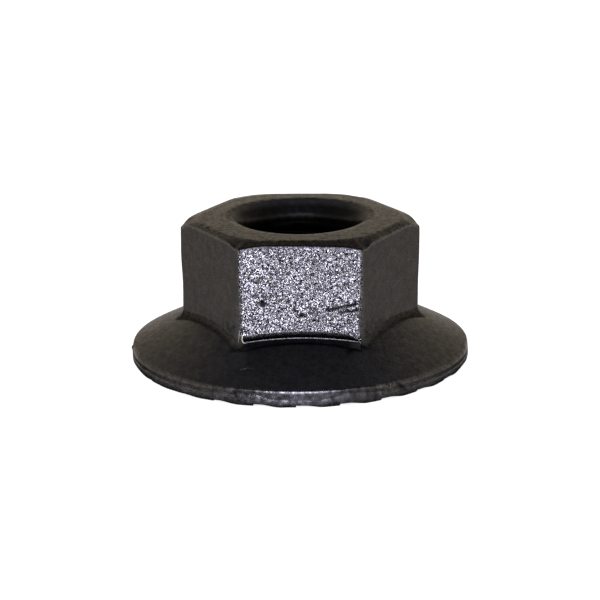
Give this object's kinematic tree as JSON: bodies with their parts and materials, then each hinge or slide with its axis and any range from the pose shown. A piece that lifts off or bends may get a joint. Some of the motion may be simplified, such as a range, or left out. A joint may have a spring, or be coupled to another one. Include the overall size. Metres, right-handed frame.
{
  "type": "serrated flange nut",
  "caption": "Hexagon flange nut with a conical flange, a metric coarse thread and ratchet serrations on its bearing face.",
  "frame": {"origin": "centre of the serrated bearing face, at the crests of the teeth", "axes": "+Z along the thread axis, from the bearing face to the hexagon's top; one flat faces -Y"},
  "size_m": [0.0162, 0.0162, 0.0069],
  "materials": {
    "phosphated_steel": "black phosphate, matt and slightly oily, grained on the hexagon's flats"
  },
  "bodies": {
    "root": {"flange_nut": "phosphated_steel"}
  },
  "joints": []
}
